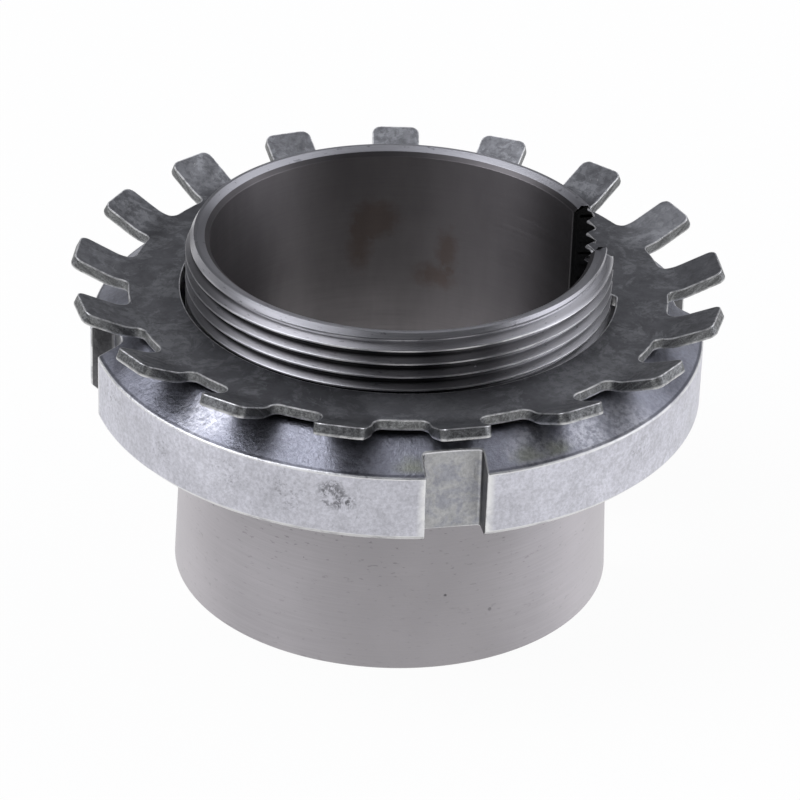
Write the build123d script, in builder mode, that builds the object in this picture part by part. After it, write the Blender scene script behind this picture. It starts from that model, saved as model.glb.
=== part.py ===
from build123d import *
from math import cos, pi, radians, sin, sqrt, tan
import os

# Bearing adapter sleeve for a 40 mm shaft, with its lock washer and lock nut.
# The sleeve stands on the wide end of its taper, thread upwards. The origin is
# the centre of that end's face, +Z runs up the axis and the slit faces +X.

# Sleeve
shaft_diameter = 40.0         # bore that clamps the shaft
sleeve_length = 39.0          # wide end to thread end
seat_wall = 3.5               # over the bore, at the taper's wide end
seat_length = 19.2            # tapered seat, up to the thread relief
seat_taper = 1 / 12           # loss of diameter for each unit of length
slit_width = 9.6
foot_chamfer = 0.15
bore_chamfer = 0.4            # at the wide end
mouth_chamfer = 1.0           # of the bore, at the thread end

# Thread, right-hand
thread_wall = 2.5             # from the bore to the crests
thread_pitch = 1.5
relief_width = 1.4            # groove where the thread runs out
end_chamfer_length = 1.5      # along the axis, at the thread's free end
end_chamfer_depth = 0.85      # from the crests to the flat end ring

# Lock nut
nut_wall = 10.0               # from the crests to the rim
nut_height = 10.0
nut_face_width = 5.5          # flat ring that bears on the washer, from the crests
nut_face_angle = 30.0         # fall of the cone outside that ring
nut_foot_chamfer = 0.7
nut_bore_chamfer = 0.9
nut_thread_clearance = 0.06   # radial, between the two threads
nut_foot_clearance = 0.4      # from the relief to the nut, wound right down
slot_count = 4                # for the hook spanner
slot_width = 6.2
slot_depth = 2.75
slot_fillet = 0.4
nut_turn = 2.2                # angle of the first slot from the slit

# Lock washer
washer_thickness = 1.25
washer_bore_clearance = 0.55  # radial, round the thread crests
washer_body_width = 6.0       # from the crests to the floor of the gaps between the tabs
washer_lift = 0.6             # play under the washer, which rides loose
tab_count = 17
tab_width = 5.25
tab_length = 6.45             # from that floor to the tab's end, before it is bent up
tab_angle = 26.0              # bend of the tabs, upwards from the nut
tab_bend_radius = 4.5         # on the upper, inner side of the bend
tab_root_fillet = 1.0
tab_corner_radius = 0.95
tongue_side_clearance = 1.8   # each side of the tongue in the slit
tongue_shaft_clearance = 0.5  # from the tongue's end to the shaft
washer_turn = -2.6            # lean of the tongue within its play

# Derived sizes
thread_depth = thread_pitch * 5 * sqrt(3) / 16 * 17 / 15
bore_radius = shaft_diameter / 2
thread_radius = bore_radius + thread_wall
thread_root_radius = thread_radius - thread_depth
end_ring_radius = thread_radius - end_chamfer_depth
seat_large_radius = bore_radius + seat_wall
thread_start = seat_length + relief_width

nut_radius = thread_radius + nut_wall
nut_bore_radius = thread_radius + nut_thread_clearance
nut_face_radius = thread_radius + nut_face_width
nut_base = thread_start + nut_foot_clearance
nut_top = nut_base + nut_height
nut_rim_top = nut_top - (nut_radius - nut_face_radius) * tan(radians(nut_face_angle))

washer_base = nut_top + washer_lift
washer_bore_radius = thread_radius + washer_bore_clearance
washer_body_radius = thread_radius + washer_body_width
tongue_width = slit_width - 2 * tongue_side_clearance
tongue_end_radius = bore_radius + tongue_shaft_clearance

os.makedirs("parts", exist_ok=True)


def seat_radius(height):
    """Radius of the tapered bearing seat at a height above the wide end."""
    return seat_large_radius - seat_taper * height / 2


# Adapter sleeve: one turned tube, tapered outside below and threaded above,
# slit along its whole length so that it can close on the shaft
slit_reach = 2 * seat_large_radius

with BuildPart() as adapter_sleeve:
    with BuildSketch(Plane.XZ):
        with BuildLine():
            Polyline(
                (bore_radius + bore_chamfer, 0),
                (seat_large_radius - foot_chamfer, 0),
                (seat_radius(foot_chamfer), foot_chamfer),
                (seat_radius(seat_length), seat_length),
                (thread_root_radius, seat_length),
                (thread_root_radius, thread_start - thread_depth / 2),
                (thread_radius, thread_start),
                (thread_radius, sleeve_length - end_chamfer_length),
                (end_ring_radius, sleeve_length),
                (bore_radius + mouth_chamfer, sleeve_length),
                (bore_radius, sleeve_length - mouth_chamfer),
                (bore_radius, bore_chamfer),
                close=True,
            )
        make_face()
    revolve(axis=Axis.Z)
    with BuildSketch(Plane.XY):
        with Locations((slit_reach / 2, 0)):
            Rectangle(slit_reach, slit_width)
    extrude(amount=sleeve_length, mode=Mode.SUBTRACT)

adapter_sleeve.part.label = "adapter_sleeve"
export_step(adapter_sleeve.part, "parts/adapter_sleeve.step")


# Lock nut: a turned ring with a flat bearing face, a cone outside it, and
# slots across the rim for the spanner and the washer's tabs
with BuildPart() as lock_nut:
    with BuildSketch(Plane.XZ):
        with BuildLine():
            Polyline(
                (nut_bore_radius + nut_bore_chamfer, nut_base),
                (nut_radius - nut_foot_chamfer, nut_base),
                (nut_radius, nut_base + nut_foot_chamfer),
                (nut_radius, nut_rim_top),
                (nut_face_radius, nut_top),
                (nut_bore_radius + nut_bore_chamfer, nut_top),
                (nut_bore_radius, nut_top - nut_bore_chamfer),
                (nut_bore_radius, nut_base + nut_bore_chamfer),
                close=True,
            )
        make_face()
    revolve(axis=Axis.Z)
    with BuildSketch(Plane.XY.offset(nut_base)) as slots:
        with PolarLocations(nut_radius, slot_count, start_angle=nut_turn):
            Rectangle(2 * slot_depth, slot_width)
        fillet(slots.vertices().group_by(SortBy.DISTANCE)[0], radius=slot_fillet)
    extrude(amount=nut_height, mode=Mode.SUBTRACT)

lock_nut.part.label = "lock_nut"
export_step(lock_nut.part, "parts/lock_nut.step")


# Lock washer: a stamped sheet ring with narrow tabs bent up round its rim and
# one tongue inside that keys it in the sleeve's slit
tab_bend_length = radians(tab_angle) * (tab_bend_radius + washer_thickness / 2)
tab_straight_length = tab_length - tab_bend_length
tab_reach = (
    washer_body_radius
    + (tab_bend_radius + washer_thickness) * sin(radians(tab_angle))
    + tab_straight_length * cos(radians(tab_angle))
)
tab_root_x = (washer_bore_radius + washer_body_radius) / 2
tab_root_half_width = washer_body_radius * sin(pi / tab_count)

# One tab: a bent strip as wide as its share of the rim, cut to the outline
with BuildPart() as tab:
    with BuildSketch(Plane.XZ):
        with BuildLine():
            under = Line((tab_root_x, washer_base), (washer_body_radius, washer_base))
            outer_bend = JernArc(
                under @ 1, under % 1, tab_bend_radius + washer_thickness, tab_angle
            )
            outer_flank = PolarLine(outer_bend @ 1, tab_straight_length, tab_angle)
            tab_end = PolarLine(outer_flank @ 1, washer_thickness, tab_angle + 90)
            inner_flank = PolarLine(tab_end @ 1, tab_straight_length, tab_angle + 180)
            inner_bend = JernArc(
                inner_flank @ 1, inner_flank % 1, tab_bend_radius, -tab_angle
            )
            Polyline(
                inner_bend @ 1,
                (tab_root_x, washer_base + washer_thickness),
                (tab_root_x, washer_base),
            )
        make_face()
    extrude(amount=tab_root_half_width, both=True)
    with BuildSketch(Plane.XY.offset(washer_base)) as outline:
        Circle(washer_body_radius)
        with Locations((tab_reach / 2, 0)):
            Rectangle(tab_reach, tab_width)
        fillet(outline.vertices().sort_by(Axis.X)[:2], radius=tab_root_fillet)
        fillet(outline.vertices().sort_by(Axis.X)[-2:], radius=tab_corner_radius)
    extrude(amount=tab_reach, mode=Mode.INTERSECT)

with BuildPart() as lock_washer:
    with BuildSketch(Plane.XY.offset(washer_base)):
        Circle(washer_body_radius)
        Circle(washer_bore_radius, mode=Mode.SUBTRACT)
        with PolarLocations(tab_root_x, 1, start_angle=washer_turn):
            Rectangle(2 * (tab_root_x - tongue_end_radius), tongue_width)
    extrude(amount=washer_thickness)
    with PolarLocations(0, tab_count, start_angle=washer_turn):
        add(tab.part)

lock_washer.part.label = "lock_washer"
export_step(lock_washer.part, "parts/lock_washer.step")
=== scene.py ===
from math import asin, atan2, cos, hypot, pi, radians, sin, sqrt, tan

import bmesh
import bpy
import numpy as np
from mathutils import Matrix, Vector


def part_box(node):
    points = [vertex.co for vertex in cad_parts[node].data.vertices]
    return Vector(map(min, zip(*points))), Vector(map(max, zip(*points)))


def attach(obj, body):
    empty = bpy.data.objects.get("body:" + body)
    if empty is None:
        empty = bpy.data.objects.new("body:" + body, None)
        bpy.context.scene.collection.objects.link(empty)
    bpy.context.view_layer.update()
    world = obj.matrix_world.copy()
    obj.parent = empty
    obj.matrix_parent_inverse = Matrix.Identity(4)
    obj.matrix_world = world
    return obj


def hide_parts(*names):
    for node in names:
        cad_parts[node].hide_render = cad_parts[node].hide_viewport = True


# Bearing adapter sleeve with its lock nut and lock washer. Lengths in the first
# part are millimetres in the row frame, and become metres when a mesh is made.
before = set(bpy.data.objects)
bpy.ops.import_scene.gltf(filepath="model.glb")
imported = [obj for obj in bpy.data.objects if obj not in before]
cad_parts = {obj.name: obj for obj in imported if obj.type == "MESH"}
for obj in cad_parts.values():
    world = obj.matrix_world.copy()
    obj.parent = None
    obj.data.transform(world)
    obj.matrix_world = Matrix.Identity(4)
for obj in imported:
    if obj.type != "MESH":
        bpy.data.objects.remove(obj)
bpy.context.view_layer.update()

MM = 0.001
WELD = 1e-7
SAME_ANGLE = 1e-9
SHARP_ANGLE = radians(32)
STRAIGHT = -0.999999


def height_span(node):
    """Lowest and highest height of a CAD node in millimetres."""
    low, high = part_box(node)
    return low[2] / MM, high[2] / MM


# Sleeve
BORE_RADIUS = 20.0
BORE_CHAMFER = 0.4
MOUTH_EDGE = (20.5, -0.33)
MOUTH_DEPTH = 0.75
MOUTH_TOP_RADIUS = 21.3
SEAT_RADIUS = 23.5
SEAT_TOP = 19.2
SEAT_SLOPE = 1 / 24
FOOT_CHAMFER = 0.15
SLIT_HALF_WIDTH = 4.8
SLIT_EDGE = 0.1
SLEEVE_TOP = height_span("adapter_sleeve")[1]
END_RING_RADIUS = 21.65
END_CHAMFER = 1.5
SLEEVE_EDGE = 0.08
SLEEVE_COLUMNS = 341

# Ragged crest ends on the slit's faces: reach into the slit and unevenness, and the
# two strips inside them
LIP_REACH = (0.02, 0.42)
LIP_RISE = 0.35
LIP_NOISE = (0.03, 0.09)
CUT_STRIP = 0.14
CUT_STRIP_RADIUS = BORE_RADIUS + 0.75

# Thread, right-hand, with a crest at this height where the angle is zero
PITCH = 1.5
CREST_RADIUS = 22.5
THREAD_DEPTH = 0.92
THREAD_START = 20.6
THREAD_FOOT = THREAD_START - 0.75 * THREAD_DEPTH
RELIEF_RADIUS = CREST_RADIUS - THREAD_DEPTH - 0.03
CREST_HEIGHT = 0.236
FLANK_CLEARANCE = 0.1
THREAD_FOOT_SLOPE = 1.2

# Nut
NUT_BASE, NUT_TOP = height_span("lock_nut")
NUT_RADIUS = 32.5
NUT_FACE_RADIUS = 28.0
NUT_CONE_SLOPE = tan(radians(30))
NUT_FOOT_CHAMFER = 0.7
NUT_BORE_CHAMFER = 0.9
NUT_MINOR_RADIUS = 21.69
NUT_MAJOR_RADIUS = CREST_RADIUS + 0.06
NUT_MOUTH_RADIUS = NUT_MAJOR_RADIUS + NUT_BORE_CHAMFER
NUT_FACE_RADII = (26.5, NUT_MOUTH_RADIUS + 0.08)
SLOT_COUNT = 4
SLOT_HALF_WIDTH = 3.1
SLOT_FLOOR = 29.75
SLOT_FILLET = 0.4
SLOT_CORNER = 0.22
SLOT_TURN = radians(2.2)
SLOT_ANGLES = [radians(angle) for angle in (4.3, 6.8, 8.2, 8.8)]
NUT_EDGE = 0.1

# Washer
WASHER_BASE = height_span("lock_washer")[0]
WASHER_THICKNESS = 1.25
WASHER_BORE_RADIUS = 23.05
WASHER_BODY_RADIUS = 28.5
WASHER_MID_RADIUS = 25.6
TAB_COUNT = 17
TAB_HALF_WIDTH = 2.62
TAB_FLAT_REACH = 34.91
TAB_ROOT_FILLET = 1.0
TAB_CORNER = 0.95
TAB_ANGLE = radians(26.0)
TAB_BEND_RADIUS = 4.5
TAB_ANGLE_SHARES = (0.8, 0.62, 0.52)
TONGUE_HALF_WIDTH = 3.0
TONGUE_REACH = 20.5
TONGUE_CORNER = 0.5
TONGUE_FILLET = 0.6
TONGUE_ANGLES = [radians(angle) for angle in (6.0, 6.6, 7.4)]
WASHER_TURN = radians(-2.6)
WASHER_EDGE = 0.08
WASHER_DIE_ROLL = 0.22
TAB_LEAN_SPREAD = radians(0.6)
TAB_TWIST_SPREAD = radians(0.5)

rng = np.random.default_rng(7)


def arc(centre, radius, start, end, steps):
    """Points along an arc about a centre in the plane, ends included."""
    angles = np.linspace(start, end, steps + 1)
    return [(centre[0] + radius * cos(a), centre[1] + radius * sin(a)) for a in angles]


def add_stretch(half, points, start, end, *marks):
    """Points put on half an outline as ring angle, place and marks, with no angle twice."""
    for p, angle in zip(points, np.linspace(start, end, len(points))):
        if not half or abs(angle - half[-1][0]) > SAME_ANGLE:
            half.append((float(angle), float(p[0]), float(p[1]), *marks))


def both_halves(half):
    """A whole outline from the half that starts on the X axis."""
    lower = [(-angle, x, -y, *marks) for angle, x, y, *marks in half[:0:-1]]
    return np.array(lower + half)


def rounded(corners, radius, steps=3):
    """An open outline with its inner corners rounded, save where it runs straight on."""
    points = [corners[0]]
    for before, corner, after in zip(corners, corners[1:], corners[2:]):
        a = np.array(before) - corner
        b = np.array(after) - corner
        a_length, b_length = hypot(*a), hypot(*b)
        a, b = a / a_length, b / b_length
        if a @ b < STRAIGHT:
            points.append(tuple(corner))
            continue
        half = 0.5 * np.arccos(np.clip(a @ b, -1, 1))
        reach = min(radius / tan(half), 0.45 * a_length, 0.45 * b_length)
        for t in np.linspace(0, 1, steps + 1):
            p = np.array(corner) + a * reach * (1 - t) ** 2 + b * reach * t**2
            points.append((float(p[0]), float(p[1])))
    points.append(corners[-1])
    return points


def normals_of(points, closed=False):
    """Unit normals to the right of an outline's run, at each of its points."""
    p = np.array(points, float)
    if closed:
        ahead, behind = np.roll(p, -1, 0), np.roll(p, 1, 0)
    else:
        ahead = np.vstack([p[1:], p[-1:]])
        behind = np.vstack([p[:1], p[:-1]])
    run = ahead - behind
    run /= np.maximum(np.hypot(run[:, 0], run[:, 1])[:, None], 1e-9)
    return np.stack([run[:, 1], -run[:, 0]], 1)


def grid_faces(columns, rows, close_rows=False):
    """Quads of a grid whose points are stored column by column."""
    c = np.arange(columns - 1)[:, None]
    r = np.arange(rows if close_rows else rows - 1)[None, :]
    up = (r + 1) % rows
    here, beside = c * rows, (c + 1) * rows
    return np.stack([here + r, beside + r, beside + up, here + up], -1).reshape(-1, 4).tolist()


def make_piece(name, points, faces, masks):
    """A mesh object in metres from points in millimetres, welded and shaded, with vertex masks."""
    mesh = bpy.data.meshes.new(name)
    mesh.from_pydata((np.array(points).reshape(-1, 3) * MM).tolist(), [], faces)
    for mask, values in masks.items():
        layer = mesh.attributes.new(mask, "FLOAT", "POINT")
        layer.data.foreach_set("value", np.array(values, np.float32).ravel())
    bm = bmesh.new()
    bm.from_mesh(mesh)
    bmesh.ops.remove_doubles(bm, verts=bm.verts, dist=WELD)
    bmesh.ops.dissolve_degenerate(bm, edges=bm.edges, dist=WELD)
    bmesh.ops.recalc_face_normals(bm, faces=bm.faces)
    bm.to_mesh(mesh)
    bm.free()
    mesh.shade_smooth()
    mesh.set_sharp_from_angle(angle=SHARP_ANGLE)
    obj = bpy.data.objects.new(name, mesh)
    bpy.context.scene.collection.objects.link(obj)
    return obj


# Thread form over one pitch: distance from the crest's middle, depth below the crest
CREST_HALF_WIDTH = PITCH / 16
ROOT_HALF_WIDTH = PITCH / 30
FLANK = THREAD_DEPTH * tan(radians(30))
THREAD_FORM = [(-0.8 * CREST_HALF_WIDTH, 0.0), (0.8 * CREST_HALF_WIDTH, 0.0)]
for down in (0.04, 0.1, 0.5, 0.86, 0.92):
    THREAD_FORM.append((CREST_HALF_WIDTH + down * FLANK, down * THREAD_DEPTH))
THREAD_FORM.append((PITCH / 2 - ROOT_HALF_WIDTH, THREAD_DEPTH))
THREAD_FORM += [(PITCH - s, depth) for s, depth in THREAD_FORM[:1:-1]]


def thread_rows(low, high):
    """Height at angle zero and depth of each row of a thread that is cut at low and high."""
    first = int((low - CREST_HEIGHT) / PITCH) - 2
    last = int((high - CREST_HEIGHT) / PITCH) + 1
    return [
        (CREST_HEIGHT + k * PITCH + s, depth)
        for k in range(first, last + 1)
        for s, depth in THREAD_FORM
    ]


def build_sleeve():
    """The slit tube: plain rows round the section, and thread rows that climb with the angle."""
    seat_top_radius = SEAT_RADIUS - SEAT_SLOPE * SEAT_TOP
    inner = rounded(
        [
            (BORE_RADIUS + 1.5, 0.0),
            (BORE_RADIUS + BORE_CHAMFER, 0.0),
            (BORE_RADIUS, BORE_CHAMFER),
            (BORE_RADIUS, SLEEVE_TOP / 2),
            (BORE_RADIUS, SLEEVE_TOP - MOUTH_DEPTH),
            (MOUTH_EDGE[0], SLEEVE_TOP + MOUTH_EDGE[1]),
            (MOUTH_TOP_RADIUS, SLEEVE_TOP),
            (END_RING_RADIUS - 0.15, SLEEVE_TOP),
        ],
        SLEEVE_EDGE,
    )
    outer = rounded(
        [
            (RELIEF_RADIUS, THREAD_FOOT),
            (RELIEF_RADIUS, SEAT_TOP),
            (seat_top_radius, SEAT_TOP),
            (SEAT_RADIUS - SEAT_SLOPE * FOOT_CHAMFER, FOOT_CHAMFER),
            (SEAT_RADIUS - FOOT_CHAMFER, 0.0),
            (SEAT_RADIUS - 1.2, 0.0),
        ],
        SLEEVE_EDGE,
    )
    rows = thread_rows(THREAD_FOOT, SLEEVE_TOP)[::-1]
    turns = np.linspace(0, 1, SLEEVE_COLUMNS)
    open_angle = asin((SLIT_HALF_WIDTH + SLIT_EDGE) / CREST_RADIUS)
    nominal = open_angle + turns * (2 * pi - 2 * open_angle)

    plain_in = np.array(inner)
    plain_out = np.array(outer)
    base_z = np.array([z for z, _ in rows])
    depth = np.array([d for _, d in rows])
    z = base_z[None, :] + PITCH * nominal[:, None] / (2 * pi)
    z = np.clip(z, THREAD_FOOT, SLEEVE_TOP)
    form = np.where(z < SLEEVE_TOP, CREST_RADIUS - depth[None, :], END_RING_RADIUS)
    chamfer_slope = (CREST_RADIUS - END_RING_RADIUS) / END_CHAMFER
    top_limit = END_RING_RADIUS + (SLEEVE_TOP - z) * chamfer_slope
    low_limit = RELIEF_RADIUS + (z - THREAD_FOOT) * THREAD_FOOT_SLOPE
    radius = np.minimum(form, np.minimum(top_limit, low_limit))

    columns = len(turns)
    ones = np.ones(columns)[:, None]
    r = np.hstack([ones * plain_in[:, 0], radius, ones * plain_out[:, 0]])
    h = np.hstack([ones * plain_in[:, 1], z, ones * plain_out[:, 1]])

    inner_count = len(inner)
    count = r.shape[1]
    thread_at = np.arange(inner_count, inner_count + len(rows))
    on_crest = np.zeros(count, bool)
    on_crest[thread_at] = depth < 0.4 * THREAD_DEPTH

    def place(r_row, h_row, y_row):
        """A section on a cut face, from its radii, heights and distances from the slit's middle."""
        x = np.sqrt(r_row**2 - y_row**2)
        return np.stack([x, y_row, h_row], 1)

    def cut_section(r_row, h_row, side):
        """The outline on one cut face, drawn in a little, with ragged lips at the crests."""
        section = np.stack([r_row, h_row], 1)
        section += normals_of(section, closed=True) * SLIT_EDGE
        section[thread_at, 0] = r_row[thread_at] - SLIT_EDGE
        section[thread_at, 1] = h_row[thread_at]
        lip = np.where(on_crest & (h_row < SLEEVE_TOP - 0.05), rng.uniform(*LIP_REACH, count), 0)
        noise = [np.where(lip > 0, rng.normal(0, spread, count), 0) for spread in LIP_NOISE]
        radii = section[:, 0] + LIP_RISE * lip + noise[0]
        heights = section[:, 1] + noise[1]
        radii = np.minimum(radii, CREST_RADIUS)
        return place(radii, heights, side * (SLIT_HALF_WIDTH - lip)), radii, heights

    angle0 = np.arcsin((SLIT_HALF_WIDTH + SLIT_EDGE) / r)
    angle = angle0 + turns[:, None] * (2 * pi - 2 * angle0)
    body = np.stack([r * np.cos(angle), r * np.sin(angle), h], -1)
    first, *first_section = cut_section(r[0], h[0], 1)
    last, *last_section = cut_section(r[-1], h[-1], -1)
    points = np.concatenate([first[None], body, last[None]])
    columns = len(points)
    faces = grid_faces(columns, count, close_rows=True)
    burr = np.zeros((columns, count))
    burr[0] = burr[-1] = on_crest
    burr[1] = burr[-2] = 0.6 * on_crest
    points = points.reshape(-1, 3)

    # Each cut face: two strips inside the thread's outline, then one plain face to the bore
    outer_chain = list(range(inner_count - 1, count)) + [0]
    for (radii, heights), side, base in (
        (first_section, 1, 0),
        (last_section, -1, (columns - 1) * count),
    ):
        half = side * SLIT_HALF_WIDTH * np.ones(len(outer_chain))
        near = np.minimum(radii[outer_chain] - CUT_STRIP, CREST_RADIUS)
        deep = np.full(len(outer_chain), CUT_STRIP_RADIUS)
        start = len(points)
        chains = [[base + k for k in outer_chain]]
        for chain_radii in (near, deep):
            chains.append(list(range(len(points), len(points) + len(outer_chain))))
            points = np.vstack([points, place(chain_radii, heights[outer_chain], half)])
        for outside, within in zip(chains, chains[1:]):
            for k in range(len(outer_chain) - 1):
                faces.append([outside[k], outside[k + 1], within[k + 1], within[k]])
        faces.append([base + k for k in range(1, inner_count - 1)] + chains[-1])
        burr = np.concatenate([burr.ravel(), np.zeros(len(points) - start)])
    cut = np.zeros(len(points))
    cut[columns * count:] = 1
    cut[:count] = cut[(columns - 1) * count:columns * count] = 1
    return make_piece("sleeve", points, faces, {"burr": burr, "cut": cut})


def nut_outline():
    """A quarter of the nut's plan about a slot: ring angle, point, and one at worn corners."""
    floor_half = SLOT_HALF_WIDTH - SLOT_FILLET
    corner = SLOT_CORNER
    corner_x = sqrt((NUT_RADIUS - corner) ** 2 - (SLOT_HALF_WIDTH + corner) ** 2)
    corner_angle = atan2(SLOT_HALF_WIDTH + corner, corner_x)
    floor = [(SLOT_FLOOR, y) for y in np.linspace(0, floor_half, 7)]
    fillet = arc((SLOT_FLOOR + SLOT_FILLET, floor_half), SLOT_FILLET, pi, pi / 2, 6)
    wall = [(x, SLOT_HALF_WIDTH) for x in np.linspace(SLOT_FLOOR + SLOT_FILLET, corner_x, 5)]
    nose = arc((corner_x, SLOT_HALF_WIDTH + corner), corner, -pi / 2, corner_angle, 5)
    rim = arc((0, 0), NUT_RADIUS, corner_angle, pi / SLOT_COUNT, 32)
    half = []
    ends = [0, *SLOT_ANGLES, pi / SLOT_COUNT]
    worn = (0.0, 0.0, 0.0, 1.0, 0.0)
    for points, *stretch in zip((floor, fillet, wall, nose, rim), ends, ends[1:], worn):
        add_stretch(half, points, *stretch)
    return both_halves(half)


def build_nut():
    """The ring nut: its plan in columns, its section in rows, with a climbing inner thread."""
    table = nut_outline()
    outline_normals = normals_of(table[:, 1:3])
    quarters = []
    for k in range(SLOT_COUNT):
        turn = SLOT_TURN + k * 2 * pi / SLOT_COUNT
        c, s = cos(turn), sin(turn)
        spin = np.array([[c, s], [-s, c]])
        quarters.append(
            (table[:, 0] + turn, table[:, 1:3] @ spin, outline_normals @ spin, table[:, 3])
        )
    angle, plan, out, worn = (
        np.concatenate([quarter[k][:-1] for quarter in quarters]) for k in range(4)
    )
    angle = np.append(angle, angle[0] + 2 * pi)
    plan = np.vstack([plan, plan[:1]])
    out = np.vstack([out, out[:1]])
    worn = np.append(worn, worn[0])
    ring = np.stack([np.cos(angle), np.sin(angle)], 1)

    def cone(p):
        return NUT_TOP - (np.hypot(p[:, 0], p[:, 1]) - NUT_FACE_RADIUS) * NUT_CONE_SLOPE

    def row(p, height):
        return np.column_stack([p, np.broadcast_to(height, len(p))])

    e = NUT_EDGE
    inset = plan - out * e
    radius = np.hypot(plan[:, 0], plan[:, 1])
    foot_radius = NUT_RADIUS - NUT_FOOT_CHAMFER
    foot = NUT_BASE + np.maximum(0, radius - foot_radius)
    foot_plan = plan * (np.minimum(radius, foot_radius) / radius)[:, None]
    rows = []
    edge = []

    def add(points, mark=0.0):
        rows.append(points)
        edge.append(np.full(len(points), 1.0) * mark)

    # Cone, rim edge, rim, foot chamfer and foot
    beside = plan - out * 2 * e
    for t in np.linspace(0, 1, 9):
        p = ring * NUT_FACE_RADIUS * (1 - t) + beside * t
        add(row(p, cone(p)))
    add(row(inset, cone(inset)), 1.0)
    add(row(plan - out * 0.3 * e, cone(plan) - 0.3 * e), 1.0)
    add(row(plan, cone(plan) - e), 1.0)
    add(row(plan, cone(plan) - 2 * e), worn)
    add(row(plan, foot + 1.5 * e), worn)
    add(row(plan, foot + 0.5 * e), 1.0)
    add(row(foot_plan - out * 0.5 * e, NUT_BASE + 0.2 * e), 1.0)
    add(row(foot_plan - out * 2 * e, NUT_BASE))
    for r in NUT_FACE_RADII:
        add(row(ring * r, NUT_BASE))

    # Inner thread, cut back by the two bore chamfers
    thread = thread_rows(NUT_BASE, NUT_TOP)
    climb = PITCH * angle / (2 * pi)
    for base, depth in thread:
        z = np.clip(base + climb, NUT_BASE, NUT_TOP)
        flank = CREST_RADIUS - depth + FLANK_CLEARANCE
        form = max(NUT_MINOR_RADIUS, min(flank, NUT_MAJOR_RADIUS))
        low = NUT_MOUTH_RADIUS - (z - NUT_BASE)
        high = NUT_MOUTH_RADIUS - (NUT_TOP - z)
        r = np.maximum(form, np.maximum(low, high))
        add(row(ring * r[:, None], z))
    for r in NUT_FACE_RADII[::-1]:
        add(row(ring * r, NUT_TOP))

    points = np.stack(rows, 1)
    columns, count = points.shape[:2]
    faces = grid_faces(columns, count, close_rows=True)
    return make_piece("nut", points, faces, {"edge": np.stack(edge, 1)})


def washer_tab_outline():
    """A tab's flat outline, from the middle of one gap to the next: ring angle and point."""
    w, f, c = TAB_HALF_WIDTH, TAB_ROOT_FILLET, TAB_CORNER
    root_x = sqrt((WASHER_BODY_RADIUS + f) ** 2 - (w + f) ** 2)
    root_angle = atan2(w + f, root_x)
    valley = arc((0, 0), WASHER_BODY_RADIUS, pi / TAB_COUNT, root_angle, 5)
    fillet = arc((root_x, w + f), f, pi + root_angle, 1.5 * pi, 6)
    side = [(x, w) for x in np.linspace(root_x, TAB_FLAT_REACH - c, 10)]
    corner = arc((TAB_FLAT_REACH - c, w - c), c, pi / 2, 0, 5)
    end = [(TAB_FLAT_REACH, y) for y in np.linspace(w - c, 0, 5)]
    half = []
    ends = [pi / TAB_COUNT, root_angle, *(share * root_angle for share in TAB_ANGLE_SHARES), 0]
    for points, *stretch in zip((valley, fillet, side, corner, end), ends, ends[1:]):
        add_stretch(half, points, *stretch)
    return both_halves(half[::-1])


def washer_tongue_outline():
    """The washer's bore with its tongue: ring angle and point, about the tongue's middle."""
    w, c, f = TONGUE_HALF_WIDTH, TONGUE_CORNER, TONGUE_FILLET
    root_x = sqrt((WASHER_BORE_RADIUS - f) ** 2 - (w + f) ** 2)
    root_angle = atan2(w + f, root_x)
    end = [(TONGUE_REACH, y) for y in np.linspace(0, w - c, 4)]
    corner = arc((TONGUE_REACH + c, w - c), c, pi, pi / 2, 4)
    side = [(x, w) for x in np.linspace(TONGUE_REACH + c, root_x, 3)]
    fillet = arc((root_x, w + f), f, -pi / 2, root_angle, 5)
    bore = arc((0, 0), WASHER_BORE_RADIUS, root_angle, pi, 160)
    half = []
    ends = [0, *TONGUE_ANGLES, root_angle + radians(0.2), pi]
    for points, *stretch in zip((end, corner, side, fillet, bore), ends, ends[1:]):
        add_stretch(half, points, *stretch)
    return both_halves(half)


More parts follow.
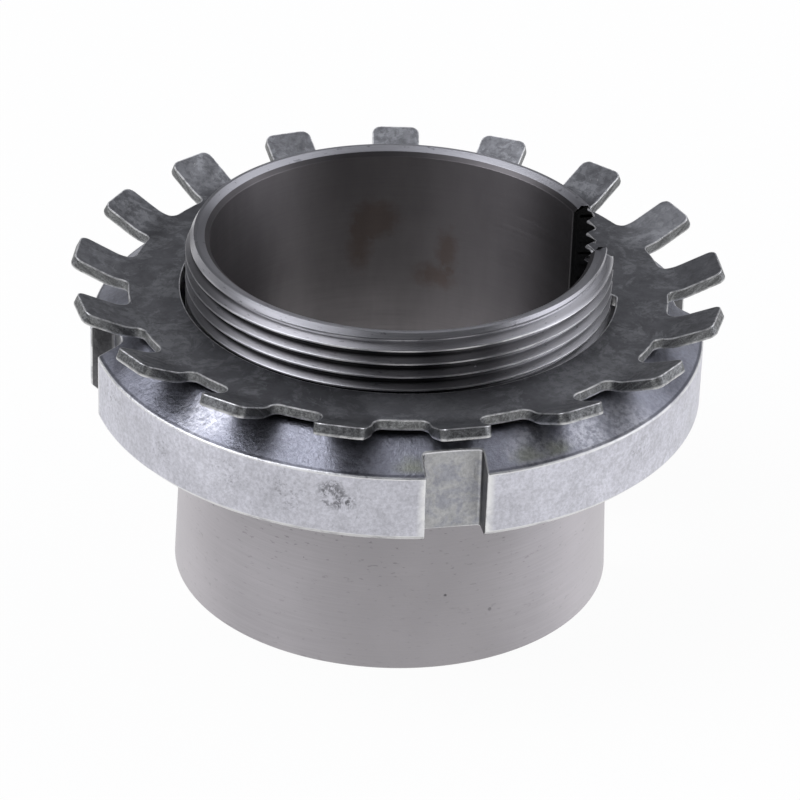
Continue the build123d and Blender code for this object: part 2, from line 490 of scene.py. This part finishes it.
def build_washer():
    """The sheet ring with its tabs: a flat grid, thickened, then bent up tab by tab."""
    tab = washer_tab_outline()
    tab_normals = normals_of(tab[:, 1:])
    period = 2 * pi / TAB_COUNT
    bore = washer_tongue_outline()
    bore_normals = -normals_of(bore[:, 1:])
    angle = np.concatenate(
        [bore[:, 0]] + [tab[:, 0] + k * period for k in range(-TAB_COUNT, TAB_COUNT)]
    )
    angle = np.unique(np.round(angle[(angle > -pi) & (angle < pi)], 7))
    angle = np.concatenate([[-pi], angle, [pi]])
    which = np.round(angle / period).astype(int)
    local = angle - which * period

    def turned(p, a):
        c, s = np.cos(a), np.sin(a)
        return np.stack([p[:, 0] * c - p[:, 1] * s, p[:, 0] * s + p[:, 1] * c], 1)

    def read(table, values, at):
        return np.stack([np.interp(at, table[:, 0], values[:, k]) for k in (0, 1)], 1)

    outer = read(tab, tab[:, 1:], local)
    outer_out = read(tab, tab_normals, local)
    outer = turned(outer, which * period)
    outer_out = turned(outer_out, which * period)
    inner = read(bore, bore[:, 1:], angle)
    inner_in = read(bore, bore_normals, angle)
    ring = np.stack([np.cos(angle), np.sin(angle)], 1) * WASHER_MID_RADIUS

    def flat_rows(height, e):
        """Rows of one flat side from the bore to the rim, with a worn row at each edge."""
        made = [(inner - inner_in * e, height, 1, 0)]
        for t in np.linspace(0, 1, 5)[:-1]:
            made.append(((inner - inner_in * 2 * e) * (1 - t) + ring * t, height, 0, 0))
        for t in np.linspace(0, 1, 19):
            made.append((ring * (1 - t) + (outer - outer_out * 2 * e) * t, height, 0, 0))
        made.append((outer - outer_out * e, height, 1, 0))
        return made

    # Sheared sheet: a crisp upper edge, and a lower one rounded by the die
    e = WASHER_EDGE
    roll = WASHER_DIE_ROLL
    top = WASHER_THICKNESS
    rows = flat_rows(top, e)
    rows.append((outer - outer_out * 0.3 * e, top - 0.3 * e, 1, 1))
    rows.append((outer, top - e, 1, 1))
    rows.append((outer, top - 2 * e, 0, 1))
    rows.append((outer, 1.6 * roll, 0, 1))
    rows.append((outer, roll, 0.6, 1))
    rows.append((outer - outer_out * 0.3 * roll, 0.3 * roll, 1, 1))
    rows += flat_rows(0.0, roll)[::-1]
    rows.append((inner - inner_in * 0.3 * e, 0.3 * e, 1, 1))
    rows.append((inner, e, 1, 1))
    rows.append((inner, top - e, 1, 1))
    rows.append((inner - inner_in * 0.3 * e, top - 0.3 * e, 1, 1))

    lean = rng.normal(0, TAB_LEAN_SPREAD, TAB_COUNT)
    twist = rng.normal(0, TAB_TWIST_SPREAD, TAB_COUNT)
    neutral = TAB_BEND_RADIUS + WASHER_THICKNESS / 2
    made = []
    for p, height, _, _ in rows:
        q = turned(p, -which * period)
        bend_angle = TAB_ANGLE + lean[which % TAB_COUNT]
        run = np.maximum(0, q[:, 0] - WASHER_BODY_RADIUS)
        turn = np.minimum(run / neutral, bend_angle)
        rest = run - turn * neutral
        rho = TAB_BEND_RADIUS + WASHER_THICKNESS - height
        x = np.minimum(q[:, 0], WASHER_BODY_RADIUS)
        x += rho * np.sin(turn) + rest * np.cos(turn)
        z = TAB_BEND_RADIUS + WASHER_THICKNESS - rho * np.cos(turn) + rest * np.sin(turn)
        z += q[:, 1] * np.tan(twist[which % TAB_COUNT]) * np.minimum(run / 3, 1)
        flat_place = turned(np.stack([x, q[:, 1]], 1), which * period + WASHER_TURN)
        made.append(np.column_stack([flat_place, WASHER_BASE + z]))
    points = np.stack(made, 1)
    # The last column lies exactly on the first, which closes the ring
    points[-1] = points[0]
    columns, count = points.shape[:2]
    faces = grid_faces(columns, count, close_rows=True)
    edge = np.broadcast_to([r[2] for r in rows], (columns, count))
    wall = np.broadcast_to([r[3] for r in rows], (columns, count))
    return make_piece("washer", points, faces, {"edge": edge, "wall": wall})


sleeve = build_sleeve()
nut = build_nut()
washer = build_washer()
for piece, node, body, slot_name in (
    (sleeve, "adapter_sleeve", "sleeve", "sleeve_steel"),
    (nut, "lock_nut", "nut", "nut_steel"),
    (washer, "lock_washer", "washer", "washer_steel"),
):
    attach(piece, body)
    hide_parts(node)


# Materials. Lengths in their nodes are millimetres, like the shapes above.
SEAT_COLOR = (0.41, 0.392, 0.41, 1)
BORE_COLOR = (0.172, 0.162, 0.166, 1)
THREAD_COLOR = (0.33, 0.325, 0.34, 1)
SLEEVE_END_COLOR = (0.40, 0.398, 0.42, 1)
BORE_STAIN_COLOR = (0.125, 0.093, 0.078, 1)
RIM_COLOR = (0.57, 0.57, 0.625, 1)
CONE_COLOR = (0.355, 0.363, 0.42, 1)
SLOT_COLORS = ((0.33, 0.335, 0.37, 1), (0.42, 0.42, 0.425, 1))
# Painted shade on the nut's slot walls
SLOT_WALL_SHADE_COLOR = (0.15, 0.15, 0.155, 1)
# Painted highlights on the nut's cone
CONE_HIGHLIGHT_COLOR = (0.68, 0.685, 0.74, 1)
CONE_STAIN_COLOR = (0.36, 0.38, 0.24, 1)
WASHER_COLOR = (0.12, 0.121, 0.128, 1)
# Worn washer steel, also the painted highlights on its tabs and sides
RUBBED_AND_LIT_COLOR = (0.245, 0.249, 0.26, 1)
SHEARED_COLOR = (0.17, 0.173, 0.175, 1)

# Across the axis, to the right in the photograph
VIEW_RIGHT = (0.986, -0.165, 0.0)

# Spots: place, radii where they are full and where they end, raggedness, and any stretch
BORE_STAINS = (
    ((0.4, 20.0, 30.6), 1.2, 2.8, 2.2, (0.8, 1, 0.9)),
    ((-1.2, 20.0, 27.4), 0.4, 2.0, 2.0, (1, 1, 0.5)),
    ((8.3, 18.2, 27.2), 0.3, 1.8, 2.2, (1, 1, 0.5)),
    ((7.2, 18.7, 24.0), 0.4, 2.2, 2.4, (0.6, 1, 1)),
)
SMUDGE = ((-11.0, -30.6, 26.1), 0.9, 2.0, 1.8)
SMUDGE_HEART = ((-11.3, -30.5, 25.6), 0.1, 0.7, 0.8)
SMUDGE_TAIL = ((-9.4, -31.1, 25.2), 0.1, 1.1, 1.6)
SPECK_CLUSTERS = (
    ((-15.5, -28.6, 25.4), 0.8, 3.6, 3.4),
    ((-21.0, -24.8, 25.6), 0.5, 3.0, 3.0),
    ((-27.0, -18.1, 25.4), 0.5, 3.0, 3.0),
    ((-31.0, -9.8, 26.3), 0.5, 3.0, 3.0),
    ((21.5, -24.4, 25.7), 0.5, 3.0, 3.0),
)
# Painted highlights on the nut's cone
CONE_HIGHLIGHT_PATCHES = (
    ((20.1, -24.3, 29.3), 1.5, 4.5, 3.0),
    ((15.6, -27.0, 29.3), 1.0, 4.0, 3.0),
    ((-22.6, -19.9, 29.8), 1.0, 4.0, 3.0),
    ((9.5, -29.2, 29.6), 1.0, 4.0, 3.0),
)
CONE_STAINS = (
    ((-3.2, -31.7, 28.8), 0.5, 2.6, 2.0),
    ((9.0, -30.6, 28.9), 0.4, 2.6, 2.0),
    ((12.0, -29.5, 28.9), 0.4, 2.4, 2.0),
)
RUBBED_PLACES = (
    ((0.2, -25.4, 32.8), 0.8, 3.6, 3.0),
    ((16.5, -22.5, 32.8), 3.0, 7.5, 4.0),
    ((16.7, 29.1, 34.6), 0.4, 1.8, 1.5),
)

# Six tabs and a place on the washer's front that are lighter or darker than the rest
WASHER_TONES = (
    ((4.7, 33.8, 34.2), 0.4),
    ((15.8, 28.7, 34.2), 0.12),
    ((24.2, 19.1, 34.2), -0.3),
    ((30.0, 8.9, 34.2), 0.55),
    ((-7.6, 31.2, 34.2), 0.25),
    ((-26.4, 16.3, 34.2), -0.3),
    ((-3.5, -24.2, 32.8), 0.4),
)


def add_node(tree, kind, inputs=None, **settings):
    """A node with its settings, and with its inputs linked from sockets or set to values."""
    made = tree.nodes.new("ShaderNode" + kind)
    for name, value in settings.items():
        setattr(made, name, value)
    for key, value in (inputs or {}).items():
        if isinstance(value, bpy.types.NodeSocket):
            tree.links.new(value, made.inputs[key])
        else:
            made.inputs[key].default_value = value
    return made


def grey(value):
    return (value, value, value, 1)


class Surface:
    """A material's node tree, with short calls for the nodes that it uses."""

    def __init__(self, name):
        self.material = bpy.data.materials.new(name)
        self.material.use_nodes = True
        self.tree = self.material.node_tree
        self.shader = self.tree.nodes["Principled BSDF"]
        coordinates = self.node("TexCoord").outputs["Object"]
        self.place = self.vector("SCALE", coordinates, Scale=1 / MM)
        split = self.node("SeparateXYZ", {0: self.place}).outputs
        self.height = split["Z"]
        flat = self.node("CombineXYZ", {0: split["X"], 1: split["Y"]}).outputs[0]
        self.radius = self.length(flat)
        self.ring = self.vector("NORMALIZE", flat)

    def node(self, kind, inputs=None, **settings):
        return add_node(self.tree, kind, inputs, **settings)

    def maths(self, operation, *values):
        return self.node("Math", dict(enumerate(values)), operation=operation).outputs[0]

    def plus(self, first, second):
        return self.maths("ADD", first, second)

    def minus(self, first, second):
        return self.maths("SUBTRACT", first, second)

    def times(self, first, second):
        return self.maths("MULTIPLY", first, second)

    def larger(self, first, second):
        return self.maths("MAXIMUM", first, second)

    def scale_add(self, value, factor, offset):
        return self.maths("MULTIPLY_ADD", value, factor, offset)

    def size(self, value):
        return self.maths("ABSOLUTE", value)

    def vector(self, operation, *values, **named):
        inputs = {**dict(enumerate(values)), **named}
        return self.node("VectorMath", inputs, operation=operation).outputs[0]

    def length(self, vector):
        return self.node("VectorMath", {0: vector}, operation="LENGTH").outputs["Value"]

    def dot(self, first, second):
        inputs = {0: first, 1: second}
        return self.node("VectorMath", inputs, operation="DOT_PRODUCT").outputs["Value"]

    def band(self, value, low, high, start=0.0, end=1.0):
        """A smooth change from start to end while the value goes from low to high."""
        inputs = {0: value, 1: low, 2: high, 3: start, 4: end}
        return self.node("MapRange", inputs, interpolation_type="SMOOTHSTEP").outputs[0]

    def noise(self, scale, detail=4.0, roughness=0.6, vector=None, distortion=0.0):
        inputs = {
            "Vector": vector or self.place,
            "Scale": scale,
            "Detail": detail,
            "Roughness": roughness,
            "Distortion": distortion,
        }
        return self.node("TexNoise", inputs).outputs[0]

    def turned(self, along, across):
        """Coordinates stretched round the axis: along is per radian, across is per millimetre."""
        run = self.minus(self.height, self.radius)
        stretched = self.vector("SCALE", self.ring, Scale=along)
        deep = self.node("CombineXYZ", {2: self.times(run, across)}).outputs[0]
        return self.vector("ADD", stretched, deep)

    def spot(self, centre, inner, outer, ragged=0.0, stretch=(1, 1, 1)):
        """One inside a place on the surface, zero outside it, with an edge broken by noise."""
        offset = self.vector("SUBTRACT", self.place, centre)
        away = self.length(self.vector("MULTIPLY", offset, stretch))
        if ragged:
            uneven = self.scale_add(self.noise(0.9, 4, 0.65), ragged, -0.5 * ragged)
            away = self.plus(away, uneven)
        return self.band(away, outer, inner)

    def spots(self, table, operation):
        """All the spots of a table, added up or each where it is the largest."""
        joined = self.spot(*table[0])
        for row in table[1:]:
            joined = self.maths(operation, joined, self.spot(*row))
        return joined

    def mask(self, name):
        return self.node("Attribute", attribute_name=name).outputs["Fac"]

    def blend(self, factor, first, second):
        inputs = {0: factor, 6: first, 7: second}
        return self.node("Mix", inputs, data_type="RGBA", clamp_factor=True).outputs[2]

    def scaled(self, color, amount):
        """A colour made brighter or darker by a number."""
        if isinstance(color, tuple):
            color = color[:3]
        return self.vector("SCALE", color, Scale=amount)

    def bump(self, height, distance, normal=None):
        inputs = {"Height": height, "Distance": distance * MM, "Strength": 1.0}
        if normal:
            inputs["Normal"] = normal
        return self.node("Bump", inputs).outputs[0]

    def finish(self, color, roughness, normal, anisotropic=0.0):
        """The metal itself, and the material on the piece that asked for it."""
        links = {"Base Color": color, "Roughness": roughness, "Normal": normal}
        for name, socket in links.items():
            self.tree.links.new(socket, self.shader.inputs[name])
        self.shader.inputs["Metallic"].default_value = 1.0
        if anisotropic:
            self.shader.inputs["Anisotropic"].default_value = anisotropic
            self.shader.inputs["Anisotropic Rotation"].default_value = 0.25
            tangent = self.node("Tangent", direction_type="RADIAL", axis="Z").outputs[0]
            self.tree.links.new(tangent, self.shader.inputs["Tangent"])
        return self.material


def sleeve_material():
    """Turned steel: fine lines round the axis, pits, a browner bore, painted highlights on the
    crests and the seat's sides, and painted shade in the grooves, the slit and the bore beside it.
    """
    s = Surface("sleeve_steel")
    inside = s.band(s.radius, MOUTH_EDGE[0] + 0.02, MOUTH_EDGE[0] - 0.04)
    plain = s.minus(1.0, inside)
    threaded = s.times(s.band(s.height, SEAT_TOP, SEAT_TOP + 0.1), plain)
    color = s.blend(inside, SEAT_COLOR, BORE_COLOR)
    color = s.blend(threaded, color, THREAD_COLOR)

    # Painted shade in the grooves, below the crests and the end chamfer
    slope = (CREST_RADIUS - END_RING_RADIUS) / END_CHAMFER
    chamfer = s.scale_add(s.height, -slope, END_RING_RADIUS + SLEEVE_TOP * slope)
    depth = s.minus(s.maths("MINIMUM", chamfer, CREST_RADIUS), s.radius)
    groove_shade = s.times(s.band(depth, 0.45, 0.85), threaded)

    # Brighter end, cleanly turned: the chamfer and the flat ring inside it
    chamfer_foot = SLEEVE_TOP - END_CHAMFER
    end = s.times(s.band(s.minus(chamfer, s.radius), 0.12, 0.03), threaded)
    end = s.times(end, s.band(s.height, chamfer_foot - 0.05, chamfer_foot + 0.05))
    top = s.larger(
        s.band(s.radius, END_RING_RADIUS + 0.04, END_RING_RADIUS),
        s.band(s.height, SLEEVE_TOP - 1.1, SLEEVE_TOP - 0.8),
    )
    top = s.times(top, s.band(s.height, SLEEVE_TOP - 1.3, SLEEVE_TOP - 1.1))
    end = s.larger(end, s.times(top, threaded))
    color = s.blend(end, color, SLEEVE_END_COLOR)
    groove_shade = s.times(groove_shade, s.minus(1.0, end))

    lines = s.noise(1.0, 3, 0.7, s.turned(2.5, 5.0))
    streaks = s.noise(1.0, 4, 0.75, s.turned(9.0, 3.2))
    cloud = s.noise(0.09, 3, 0.5)
    upright = s.noise(1.0, 5, 0.6, s.turned(3.2, 0.05))
    level = s.scale_add(s.band(lines, 0.3, 0.7, -0.06, 0.05), plain, 1.0)
    level = s.times(level, s.scale_add(s.band(upright, 0.3, 0.7, -0.09, 0.09), inside, 1.0))
    level = s.times(level, s.band(cloud, 0.3, 0.7, 0.95, 1.04))

    # Painted highlights on the seat's left and right flanks as seen, painted shade on the bore
    # beside the slit, and a bore lighter low down
    across = s.dot(s.ring, VIEW_RIGHT)
    seat = s.times(plain, s.band(s.height, SEAT_TOP + 0.1, SEAT_TOP))
    seat_side_highlight = s.times(seat, s.band(s.size(across), 0.65, 1.0, 0.0, 0.42))
    level = s.plus(level, seat_side_highlight)
    beside = s.times(inside, s.band(across, 0.6, 0.9, 0.0, -0.36))
    low = s.times(inside, s.band(s.height, 27.0, 15.0, 0.0, 0.5))
    lip = s.times(inside, s.band(s.radius, BORE_RADIUS + 0.02, BORE_RADIUS + 0.1, 0.0, -0.3))
    level = s.times(level, s.plus(s.plus(beside, s.plus(low, lip)), 1.0))
    level = s.times(level, s.band(streaks, 0.66, 0.76, 1.0, 0.86))

    # Pits, a few in each square centimetre
    cells = s.node("TexVoronoi", {"Vector": s.place, "Scale": 0.42, "Randomness": 1.0}).outputs
    picked = s.node("SeparateColor", {0: cells["Color"]}).outputs[0]
    pit = s.maths("LESS_THAN", cells["Distance"], s.times(s.band(picked, 0.62, 1.0), 0.085))
    pit = s.times(pit, s.times(plain, s.band(s.height, 3.0, 12.0, 0.3, 1.0)))
    level = s.times(level, s.scale_add(pit, -0.35, 1.0))

    # Short dark dashes round the seat, thicker below the nut
    dashes = s.band(s.noise(1.0, 2, 0.5, s.turned(26.0, 3.4)), 0.655, 0.70)
    dashes = s.times(dashes, s.times(plain, s.band(s.height, 6.0, 18.0, 0.35, 1.0)))
    level = s.times(level, s.scale_add(dashes, -0.34, 1.0))

    # Brown stains high on the far side of the bore
    stains = s.maths("MINIMUM", s.spots(BORE_STAINS, "ADD"), 1.0)
    stains = s.times(stains, s.times(inside, 0.62))
    color = s.blend(stains, color, BORE_STAIN_COLOR)

    # Painted shade in the grooves, darkest at the left and front, and painted highlights on the
    # crests, brightest at the right
    groove_shade = s.times(groove_shade, s.band(across, 0.1, 0.6, -0.92, -0.25))
    color = s.scaled(color, s.times(level, s.plus(groove_shade, 1.0)))
    crest = s.band(s.radius, CREST_RADIUS - 0.05, CREST_RADIUS - 0.01)
    crest = s.times(crest, s.times(threaded, s.band(streaks, 0.35, 0.6, 0.4, 1.0)))
    crest = s.times(crest, s.band(across, -0.3, 0.6, 0.5, 1.0))
    color = s.blend(crest, color, grey(0.85))

    # Painted shade on the faces in the slit, darker deep in it, with bright ragged crest ends
    cut = s.mask("cut")
    slit_shade_depth = s.band(s.height, SEAT_TOP, SLEEVE_TOP - 8.0)
    color = s.blend(cut, color, s.blend(slit_shade_depth, grey(0.12), grey(0.03)))
    color = s.blend(s.mask("burr"), color, grey(0.8))

    roughness = s.band(lines, 0.25, 0.75, 0.38, 0.46)
    changes = ((threaded, -0.08), (end, -0.02), (inside, 0.08), (cut, 0.2), (pit, 0.25))
    for where, change in changes:
        roughness = s.scale_add(where, change, roughness)
    speckle = s.times(s.noise(5.0, 3, 0.7), threaded)
    normal = s.bump(s.scale_add(speckle, 3.0, s.times(lines, plain)), 0.006)
    normal = s.bump(s.times(pit, -1.0), 0.02, normal)
    return s.finish(color, roughness, normal, 0.75)


def nut_material():
    """Grained bare steel with clouds of tarnish, fine specks, bright edges partly painted as
    highlights, old stains, and painted highlights and shade on the rim, cone and slots.
    """
    s = Surface("nut_steel")
    cloud = s.noise(0.11, 5, 0.62)
    patches = s.noise(0.42, 5, 0.68, distortion=0.6)
    grain = s.noise(2.6, 4, 0.7)
    level = s.band(cloud, 0.34, 0.66, 0.93, 1.06)
    level = s.times(level, s.band(patches, 0.36, 0.62, 0.90, 1.05))
    level = s.times(level, s.band(grain, 0.32, 0.68, 0.86, 1.12))

    # Dark specks in loose groups
    groups = s.band(s.noise(0.13, 2, 0.5), 0.5, 0.62)
    specks = s.band(s.noise(1.25, 5, 0.75), 0.61, 0.68)
    level = s.times(level, s.scale_add(s.times(specks, groups), -0.3, 1.0))

    # A dark ring-shaped smudge on the front of the rim, and clusters of specks beside it
    smudge = s.minus(s.spot(*SMUDGE), s.spot(*SMUDGE_HEART))
    smudge = s.plus(smudge, s.spot(*SMUDGE_TAIL))
    cluster = s.spots(SPECK_CLUSTERS, "MAXIMUM")
    cluster = s.times(cluster, s.band(s.noise(1.9, 4, 0.7), 0.5, 0.6))
    marks = s.scale_add(cluster, 0.55, smudge)
    marks = s.times(marks, s.band(s.noise(1.3, 4, 0.75, distortion=1.5), 0.42, 0.56))
    level = s.times(level, s.scale_add(marks, -0.62, 1.0))

    # A bright rim with painted highlights towards its left and right sides as seen, and a darker
    # cone above it
    fall = s.times(s.minus(s.radius, NUT_FACE_RADIUS), NUT_CONE_SLOPE)
    below_cone = s.plus(s.minus(s.height, NUT_TOP), fall)
    on_cone = s.band(below_cone, -0.15, -0.05)
    across = s.size(s.dot(s.ring, VIEW_RIGHT))
    rim_painted_light_color = s.scaled(RIM_COLOR, s.band(across, 0.25, 0.6, 1.0, 1.12))
    color = s.blend(on_cone, rim_painted_light_color, CONE_COLOR)

    # Clouded slot floors and slot walls in painted shade, told apart by the way that they face
    clouded = s.band(s.noise(0.5, 5, 0.7, distortion=0.8), 0.4, 0.6)
    facing = s.node(
        "VectorTransform",
        {0: s.node("NewGeometry").outputs["Normal"]},
        vector_type="NORMAL",
        convert_from="WORLD",
        convert_to="OBJECT",
    ).outputs[0]
    sideways = s.dot(facing, s.vector("CROSS_PRODUCT", s.ring, (0.0, 0.0, 1.0)))
    slot_wall = s.band(s.size(sideways), 0.6, 0.85)
    slot_color = s.blend(slot_wall, s.blend(clouded, *SLOT_COLORS), SLOT_WALL_SHADE_COLOR)
    within_rim = s.band(s.radius, NUT_RADIUS - 0.15, NUT_RADIUS - 0.3)
    in_slot = s.times(s.band(below_cone, -0.1, -0.25), within_rim)
    beside_rim = s.band(s.radius, NUT_RADIUS - 0.05, NUT_RADIUS - 0.1)
    in_slot = s.larger(in_slot, s.times(slot_wall, beside_rim))
    color = s.blend(in_slot, color, slot_color)
    color = s.scaled(color, level)

    # Painted highlights on the cone: silvery speckled patches
    cone_highlight = s.times(s.spots(CONE_HIGHLIGHT_PATCHES, "MAXIMUM"), on_cone)
    cone_highlight = s.times(cone_highlight, s.band(s.noise(1.7, 5, 0.75), 0.40, 0.58, 0.15, 1.0))
    color = s.blend(cone_highlight, color, CONE_HIGHLIGHT_COLOR)

    # Olive oil stains low on the cone
    stains = s.spots(CONE_STAINS, "ADD")
    stains = s.times(stains, s.band(s.height, NUT_TOP - 2.4, NUT_TOP - 2.0))
    color = s.blend(s.times(stains, 0.5), color, CONE_STAIN_COLOR)

    # A thin line of painted shade inside the rim's upper edge, and bright worn edges that are
    # partly a painted highlight
    rim_shade_line = s.times(
        s.band(s.radius, NUT_RADIUS - 0.5, NUT_RADIUS - 0.35),
        s.band(s.radius, NUT_RADIUS - 0.1, NUT_RADIUS - 0.2),
    )
    rim_shade_line = s.times(rim_shade_line, s.band(s.height, NUT_TOP - 2.7, NUT_TOP - 2.6))
    color = s.scaled(color, s.scale_add(rim_shade_line, -0.45, 1.0))
    worn = s.times(s.mask("edge"), s.band(patches, 0.3, 0.55, 0.35, 1.0))
    color = s.blend(worn, color, grey(0.85))

    roughness = s.band(patches, 0.3, 0.7, 0.36, 0.47)
    beaten = s.times(s.noise(1.6, 5, 0.7), on_cone)
    normal = s.bump(s.scale_add(beaten, 2.2, grain), 0.03)
    normal = s.bump(patches, 0.05, normal)
    return s.finish(color, roughness, normal)


def washer_material():
    """Dark sheet steel with worn clouds, hair scratches, sheared walls and bright burrs partly
    painted as highlights, with painted highlights on the tabs and sides and painted shade on the
    undersides.
    """
    s = Surface("washer_steel")
    cloud = s.noise(0.2, 6, 0.68, distortion=1.2)
    fine = s.noise(1.1, 6, 0.72, distortion=0.4)
    grain = s.noise(3.6, 3, 0.65)
    rubbed_and_lit = s.larger(s.band(cloud, 0.45, 0.58), s.spots(RUBBED_PLACES, "MAXIMUM"))
    # Painted highlights: the tabs, out from their bends, and the left and right sides are lighter
    rubbed_and_lit = s.larger(rubbed_and_lit, s.band(s.radius, 28.6, 30.4, 0.0, 0.5))
    side = s.size(s.node("SeparateXYZ", {0: s.ring}).outputs["X"])
    rubbed_and_lit = s.larger(rubbed_and_lit, s.band(side, 0.6, 1.0, 0.0, 0.22))
    rubbed_and_lit = s.times(rubbed_and_lit, s.band(fine, 0.38, 0.58, 0.26, 1.15))
    color = s.blend(rubbed_and_lit, WASHER_COLOR, RUBBED_AND_LIT_COLOR)
    # Painted shade: faces that look downwards are made much darker
    upward = s.node("SeparateXYZ", {0: s.node("NewGeometry").outputs["Normal"]}).outputs["Z"]
    color = s.scaled(color, s.band(upward, -0.6, -0.2, 0.12, 1.0))
    for place, change in WASHER_TONES:
        color = s.scaled(color, s.scale_add(s.spot(place, 3.0, 5.0, 1.0), change, 1.0))
    color = s.scaled(color, s.band(grain, 0.3, 0.7, 0.94, 1.06))
    mottle = s.noise(0.5, 5, 0.65, distortion=0.3)
    color = s.scaled(color, s.band(mottle, 0.32, 0.68, 0.87, 1.14))

    # Hair scratches
    bent = s.vector("MULTIPLY", s.place, (0.9, 0.18, 1.0))
    scratch = s.band(s.noise(0.8, 5, 0.8, bent, 1.2), 0.65, 0.68)
    color = s.blend(s.times(scratch, 0.6), color, grey(0.42))

    # Sheared walls with fine upright striations
    shear = s.noise(1.0, 4, 0.75, s.turned(70.0, 1.6))
    speckle = s.noise(6.5, 3, 0.75)
    wall_color = s.scaled(SHEARED_COLOR, s.band(shear, 0.32, 0.68, 0.6, 1.5))
    wall_color = s.scaled(wall_color, s.band(speckle, 0.3, 0.7, 0.6, 1.45))
    wall = s.mask("wall")
    color = s.blend(wall, color, wall_color)
    # Bright worn edges and burrs, partly a painted highlight
    worn = s.times(s.mask("edge"), s.band(fine, 0.34, 0.58, 0.3, 1.0))
    color = s.blend(worn, color, grey(0.72))

    roughness = s.band(rubbed_and_lit, 0.0, 1.0, 0.5, 0.4)
    normal = s.bump(fine, 0.02)
    normal = s.bump(s.times(shear, wall), 0.04, normal)
    return s.finish(color, roughness, normal)


sleeve.data.materials.append(sleeve_material())
nut.data.materials.append(nut_material())
washer.data.materials.append(washer_material())

# Floor and light
FLOOR_HALF = 4.0
FLOOR_COLOR = 0.95
FLOOR_LIFT = 0.955
CAMERA_HEADING = radians(-9.5)
WORLD_COLOR = (0.97, 0.98, 1.04, 1)
WORLD_HORIZON = 0.46
WORLD_SKY = 0.09
WORLD_FADE = (0.03, 0.36)

# Soft lights painted on the surroundings: direction to the right of the view, away
# from the camera and up, brightness, and the angles where they stop and start fading
SOFT_LIGHTS = (
    ((-0.68, -0.14, 0.72), 3.7, 10, 30),
    ((-0.52, -0.70, 0.48), 0.7, 4, 20),
    ((-0.35, 0.17, 0.92), 1.3, 8, 26),
    ((0.0, 0.60, 0.80), 0.55, 8, 26),
    ((0.50, 0.45, 0.74), 1.3, 8, 28),
    ((0.965, 0.0, 0.26), 2.1, 6, 32),
)


def build_floor():
    """A pale floor with the object's shadow on it, lifted towards white where it is seen."""
    h = FLOOR_HALF
    mesh = bpy.data.meshes.new("floor")
    mesh.from_pydata([(-h, -h, 0), (h, -h, 0), (h, h, 0), (-h, h, 0)], [], [(0, 1, 2, 3)])
    floor = bpy.data.objects.new("floor", mesh)
    bpy.context.scene.collection.objects.link(floor)
    material = bpy.data.materials.new("floor")
    material.use_nodes = True
    tree = material.node_tree
    tree.nodes.clear()

    def maths(operation, first, second):
        return add_node(tree, "Math", {0: first, 1: second}, operation=operation).outputs[0]

    path = add_node(tree, "LightPath").outputs
    seen = maths("MAXIMUM", path["Is Camera Ray"], path["Is Glossy Ray"])
    lift = maths("MULTIPLY", maths("MAXIMUM", seen, path["Is Transmission Ray"]), FLOOR_LIFT)
    diffuse = add_node(tree, "BsdfDiffuse", {"Color": grey(FLOOR_COLOR)}).outputs[0]
    glow = add_node(tree, "Emission", {"Strength": 1.0}).outputs[0]
    mixed = add_node(tree, "MixShader", {0: lift, 1: diffuse, 2: glow}).outputs[0]
    add_node(tree, "OutputMaterial", {"Surface": mixed})
    mesh.materials.append(material)


def build_world():
    """Soft surroundings: pale at the horizon, grey above, with broad soft lights."""
    world = bpy.data.worlds.new("studio")
    world.use_nodes = True
    tree = world.node_tree
    direction = add_node(tree, "TexCoord").outputs["Generated"]
    up = add_node(tree, "SeparateXYZ", {0: direction}).outputs["Z"]
    inputs = {0: up, 1: WORLD_FADE[0], 2: WORLD_FADE[1], 3: WORLD_HORIZON, 4: WORLD_SKY}
    total = add_node(tree, "MapRange", inputs, interpolation_type="SMOOTHERSTEP").outputs[0]
    turn = Matrix.Rotation(CAMERA_HEADING, 3, "Z")
    for toward, brightness, inner, outer in SOFT_LIGHTS:
        inputs = {0: direction, 1: turn @ Vector(toward).normalized()}
        near = add_node(tree, "VectorMath", inputs, operation="DOT_PRODUCT").outputs["Value"]
        inputs = {0: near, 1: cos(radians(outer)), 2: cos(radians(inner)), 3: 0.0, 4: brightness}
        glow = add_node(tree, "MapRange", inputs, interpolation_type="SMOOTHSTEP").outputs[0]
        total = add_node(tree, "Math", {0: total, 1: glow}, operation="ADD").outputs[0]
    background = tree.nodes["Background"]
    tree.links.new(total, background.inputs["Strength"])
    background.inputs["Color"].default_value = WORLD_COLOR
    bpy.context.scene.world = world


build_floor()
build_world()

# Camera
CAMERA_PLACE = (-60.87, -367.26, 229.91)
CAMERA_PITCH = radians(29.53)
CAMERA_ROLL = radians(1.98)
CAMERA_FOCAL_PIXELS = 3985.78
PHOTO_PIXELS = 800
camera_data = bpy.data.cameras.new("camera")
camera_data.sensor_width = 36.0
camera_data.lens = CAMERA_FOCAL_PIXELS / PHOTO_PIXELS * camera_data.sensor_width
camera_data.clip_start = 0.01
camera = bpy.data.objects.new("camera", camera_data)
bpy.context.scene.collection.objects.link(camera)
camera.matrix_world = (
    Matrix.Translation(Vector(CAMERA_PLACE) * MM)
    @ Matrix.Rotation(CAMERA_HEADING, 4, "Z")
    @ Matrix.Rotation(pi / 2 - CAMERA_PITCH, 4, "X")
    @ Matrix.Rotation(CAMERA_ROLL, 4, "Z")
)
bpy.context.scene.camera = camera
bpy.context.scene.view_settings.view_transform = "Standard"
